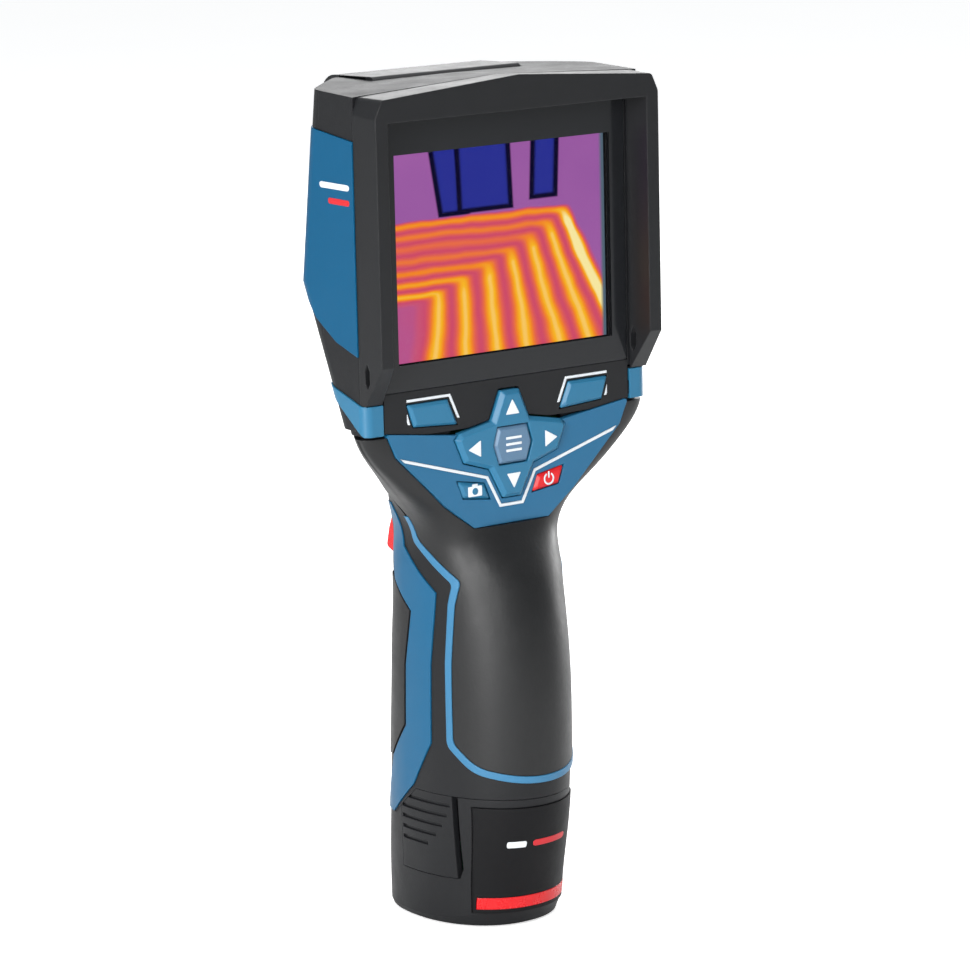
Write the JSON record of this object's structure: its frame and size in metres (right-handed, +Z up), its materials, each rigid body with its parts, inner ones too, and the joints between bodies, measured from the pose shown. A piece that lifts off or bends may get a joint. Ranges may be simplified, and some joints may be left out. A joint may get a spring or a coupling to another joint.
{
  "type": "thermal imaging camera",
  "caption": "Hand-held pistol-grip thermal camera with a hooded display, keypad, trigger, folding lens cap and slide-out battery that forms its foot.",
  "frame": {"origin": "centre of the battery's flat base, on the mid plane, under the grip", "axes": "+Z up, -Y towards the user (the display faces -Y), +X to the user's right"},
  "size_m": [0.0944, 0.0646, 0.2335],
  "materials": {
    "bead": "satin",
    "bezel_black": "satin",
    "blue": "satin",
    "blue_band": "satin",
    "cell": "shrink sleeve",
    "clear_glass": "gloss",
    "cover_rubber": "matt",
    "gasket_rubber": "matt",
    "germanium": "coated",
    "gold": "plated",
    "grip_rubber": "fine texture",
    "hood_black": "satin",
    "key_grey": "satin",
    "key_red": "satin",
    "lcd": "emissive picture",
    "lens_black": "satin",
    "metal": "brushed",
    "pcb": "solder mask",
    "red": "gloss",
    "shell_black": "fine texture",
    "silicone": "matt",
    "switch": "satin",
    "white_line": "satin",
    "window_glass": "gloss"
  },
  "bodies": {
    "camera_body": {"battery_contacts": "gold", "board_screws": "metal", "camera_module": "lens_black", "camera_window": "clear_glass", "cap_hinge_pin": "metal", "coin_cell": "metal", "display_bezel": "bezel_black", "display_hood": "hood_black", "display_panel": "lcd", "display_side_shell": "shell_black", "display_window": "window_glass", "finger_grip": "grip_rubber", "grip_piping": "bead", "housing_screws": "metal", "ir_lens": "germanium", "key_board": "pcb", "key_switches": "switch", "keypad_band_left": "blue_band", "keypad_band_right": "blue_band", "keypad_plate": "blue", "keypad_trim": "white_line", "lens_barrel": "lens_black", "lens_bezel": "lens_black", "lens_ring": "lens_black", "lens_side_shell": "shell_black", "main_board": "pcb", "palm_grip": "grip_rubber", "processor_shield": "metal", "sensor_module": "metal", "shutter_motor": "metal", "side_panel_left": "blue", "side_panel_right": "blue", "side_stripe_left": "blue", "side_stripe_right": "blue", "soft_key_lines": "white_line", "terminal_block": "lens_black", "trigger_pin": "metal", "trigger_switch": "switch", "usb_connector": "metal", "window_gasket": "gasket_rubber", "wireless_module": "metal"},
    "battery": {"battery_case": "shell_black", "battery_panel": "shell_black", "battery_stripe": "red", "battery_cells": "cell"},
    "latch_left": {"battery_latch_left": "shell_black"},
    "latch_right": {"battery_latch_right": "shell_black"},
    "cap": {"protective_cap": "hood_black"},
    "trigger": {"trigger": "shell_black"},
    "left_soft_key": {"left_soft_key": "key_grey"},
    "right_soft_key": {"right_soft_key": "key_grey"},
    "func_key": {"func_key": "key_grey"},
    "save_key": {"save_key": "key_grey"},
    "power_key": {"power_key": "key_red"},
    "nav_ring": {"nav_membrane": "silicone"},
    "nav_pad": {"nav_pad": "key_grey"},
    "usb_cover": {"usb_cover": "cover_rubber"},
    "shutter": {"shutter_blade": "lens_black"}
  },
  "joints": [
    {"name": "battery_slide", "type": "slide", "parent": "camera_body", "child": "battery", "axis": [0, 0, -1], "range_m": [0, 0.09]},
    {"name": "latch_left_press", "type": "hinge", "parent": "battery", "child": "latch_left", "pos_m": [-0.021, -0.0009, 0.0142], "axis": [0, 1, 0], "range_deg": [0, 1.5]},
    {"name": "latch_right_press", "type": "hinge", "parent": "battery", "child": "latch_right", "pos_m": [0.021, -0.0009, 0.0142], "axis": [0, -1, 0], "range_deg": [0, 1.5]},
    {"name": "cap_hinge", "type": "hinge", "parent": "camera_body", "child": "cap", "pos_m": [0, 0.0105, 0.23], "axis": [1, 0, 0], "range_deg": [0, 85]},
    {"name": "trigger_pivot", "type": "hinge", "parent": "camera_body", "child": "trigger", "pos_m": [0, 0.019, 0.1105], "axis": [-1, 0, 0], "range_deg": [0, 5]},
    {"name": "left_soft_key_press", "type": "slide", "parent": "camera_body", "child": "left_soft_key", "axis": [0, 1, 0], "range_m": [0, 0.0008]},
    {"name": "right_soft_key_press", "type": "slide", "parent": "camera_body", "child": "right_soft_key", "axis": [0, 1, 0], "range_m": [0, 0.0008]},
    {"name": "func_key_press", "type": "slide", "parent": "camera_body", "child": "func_key", "axis": [0, 1, 0], "range_m": [0, 0.0008]},
    {"name": "save_key_press", "type": "slide", "parent": "camera_body", "child": "save_key", "axis": [0, 1, 0], "range_m": [0, 0.0008]},
    {"name": "power_key_press", "type": "slide", "parent": "camera_body", "child": "power_key", "axis": [0, 1, 0], "range_m": [0, 0.0008]},
    {"name": "nav_tilt_up_down", "type": "hinge", "parent": "camera_body", "child": "nav_ring", "pos_m": [0, -0.0129, 0.1335], "axis": [1, 0, 0], "range_deg": [-2, 2]},
    {"name": "nav_tilt_left_right", "type": "hinge", "parent": "nav_ring", "child": "nav_pad", "pos_m": [0, -0.0129, 0.1335], "axis": [0, 0, 1], "range_deg": [-2, 2]},
    {"name": "usb_cover_hinge", "type": "hinge", "parent": "camera_body", "child": "usb_cover", "pos_m": [0.0473, -0.0069, 0.203], "axis": [0, 0, -1], "range_deg": [0, 110]},
    {"name": "shutter_swing", "type": "hinge", "parent": "camera_body", "child": "shutter", "pos_m": [0.018, 0.00785, 0.1695], "axis": [0, -1, 0], "range_deg": [0, 55]}
  ]
}
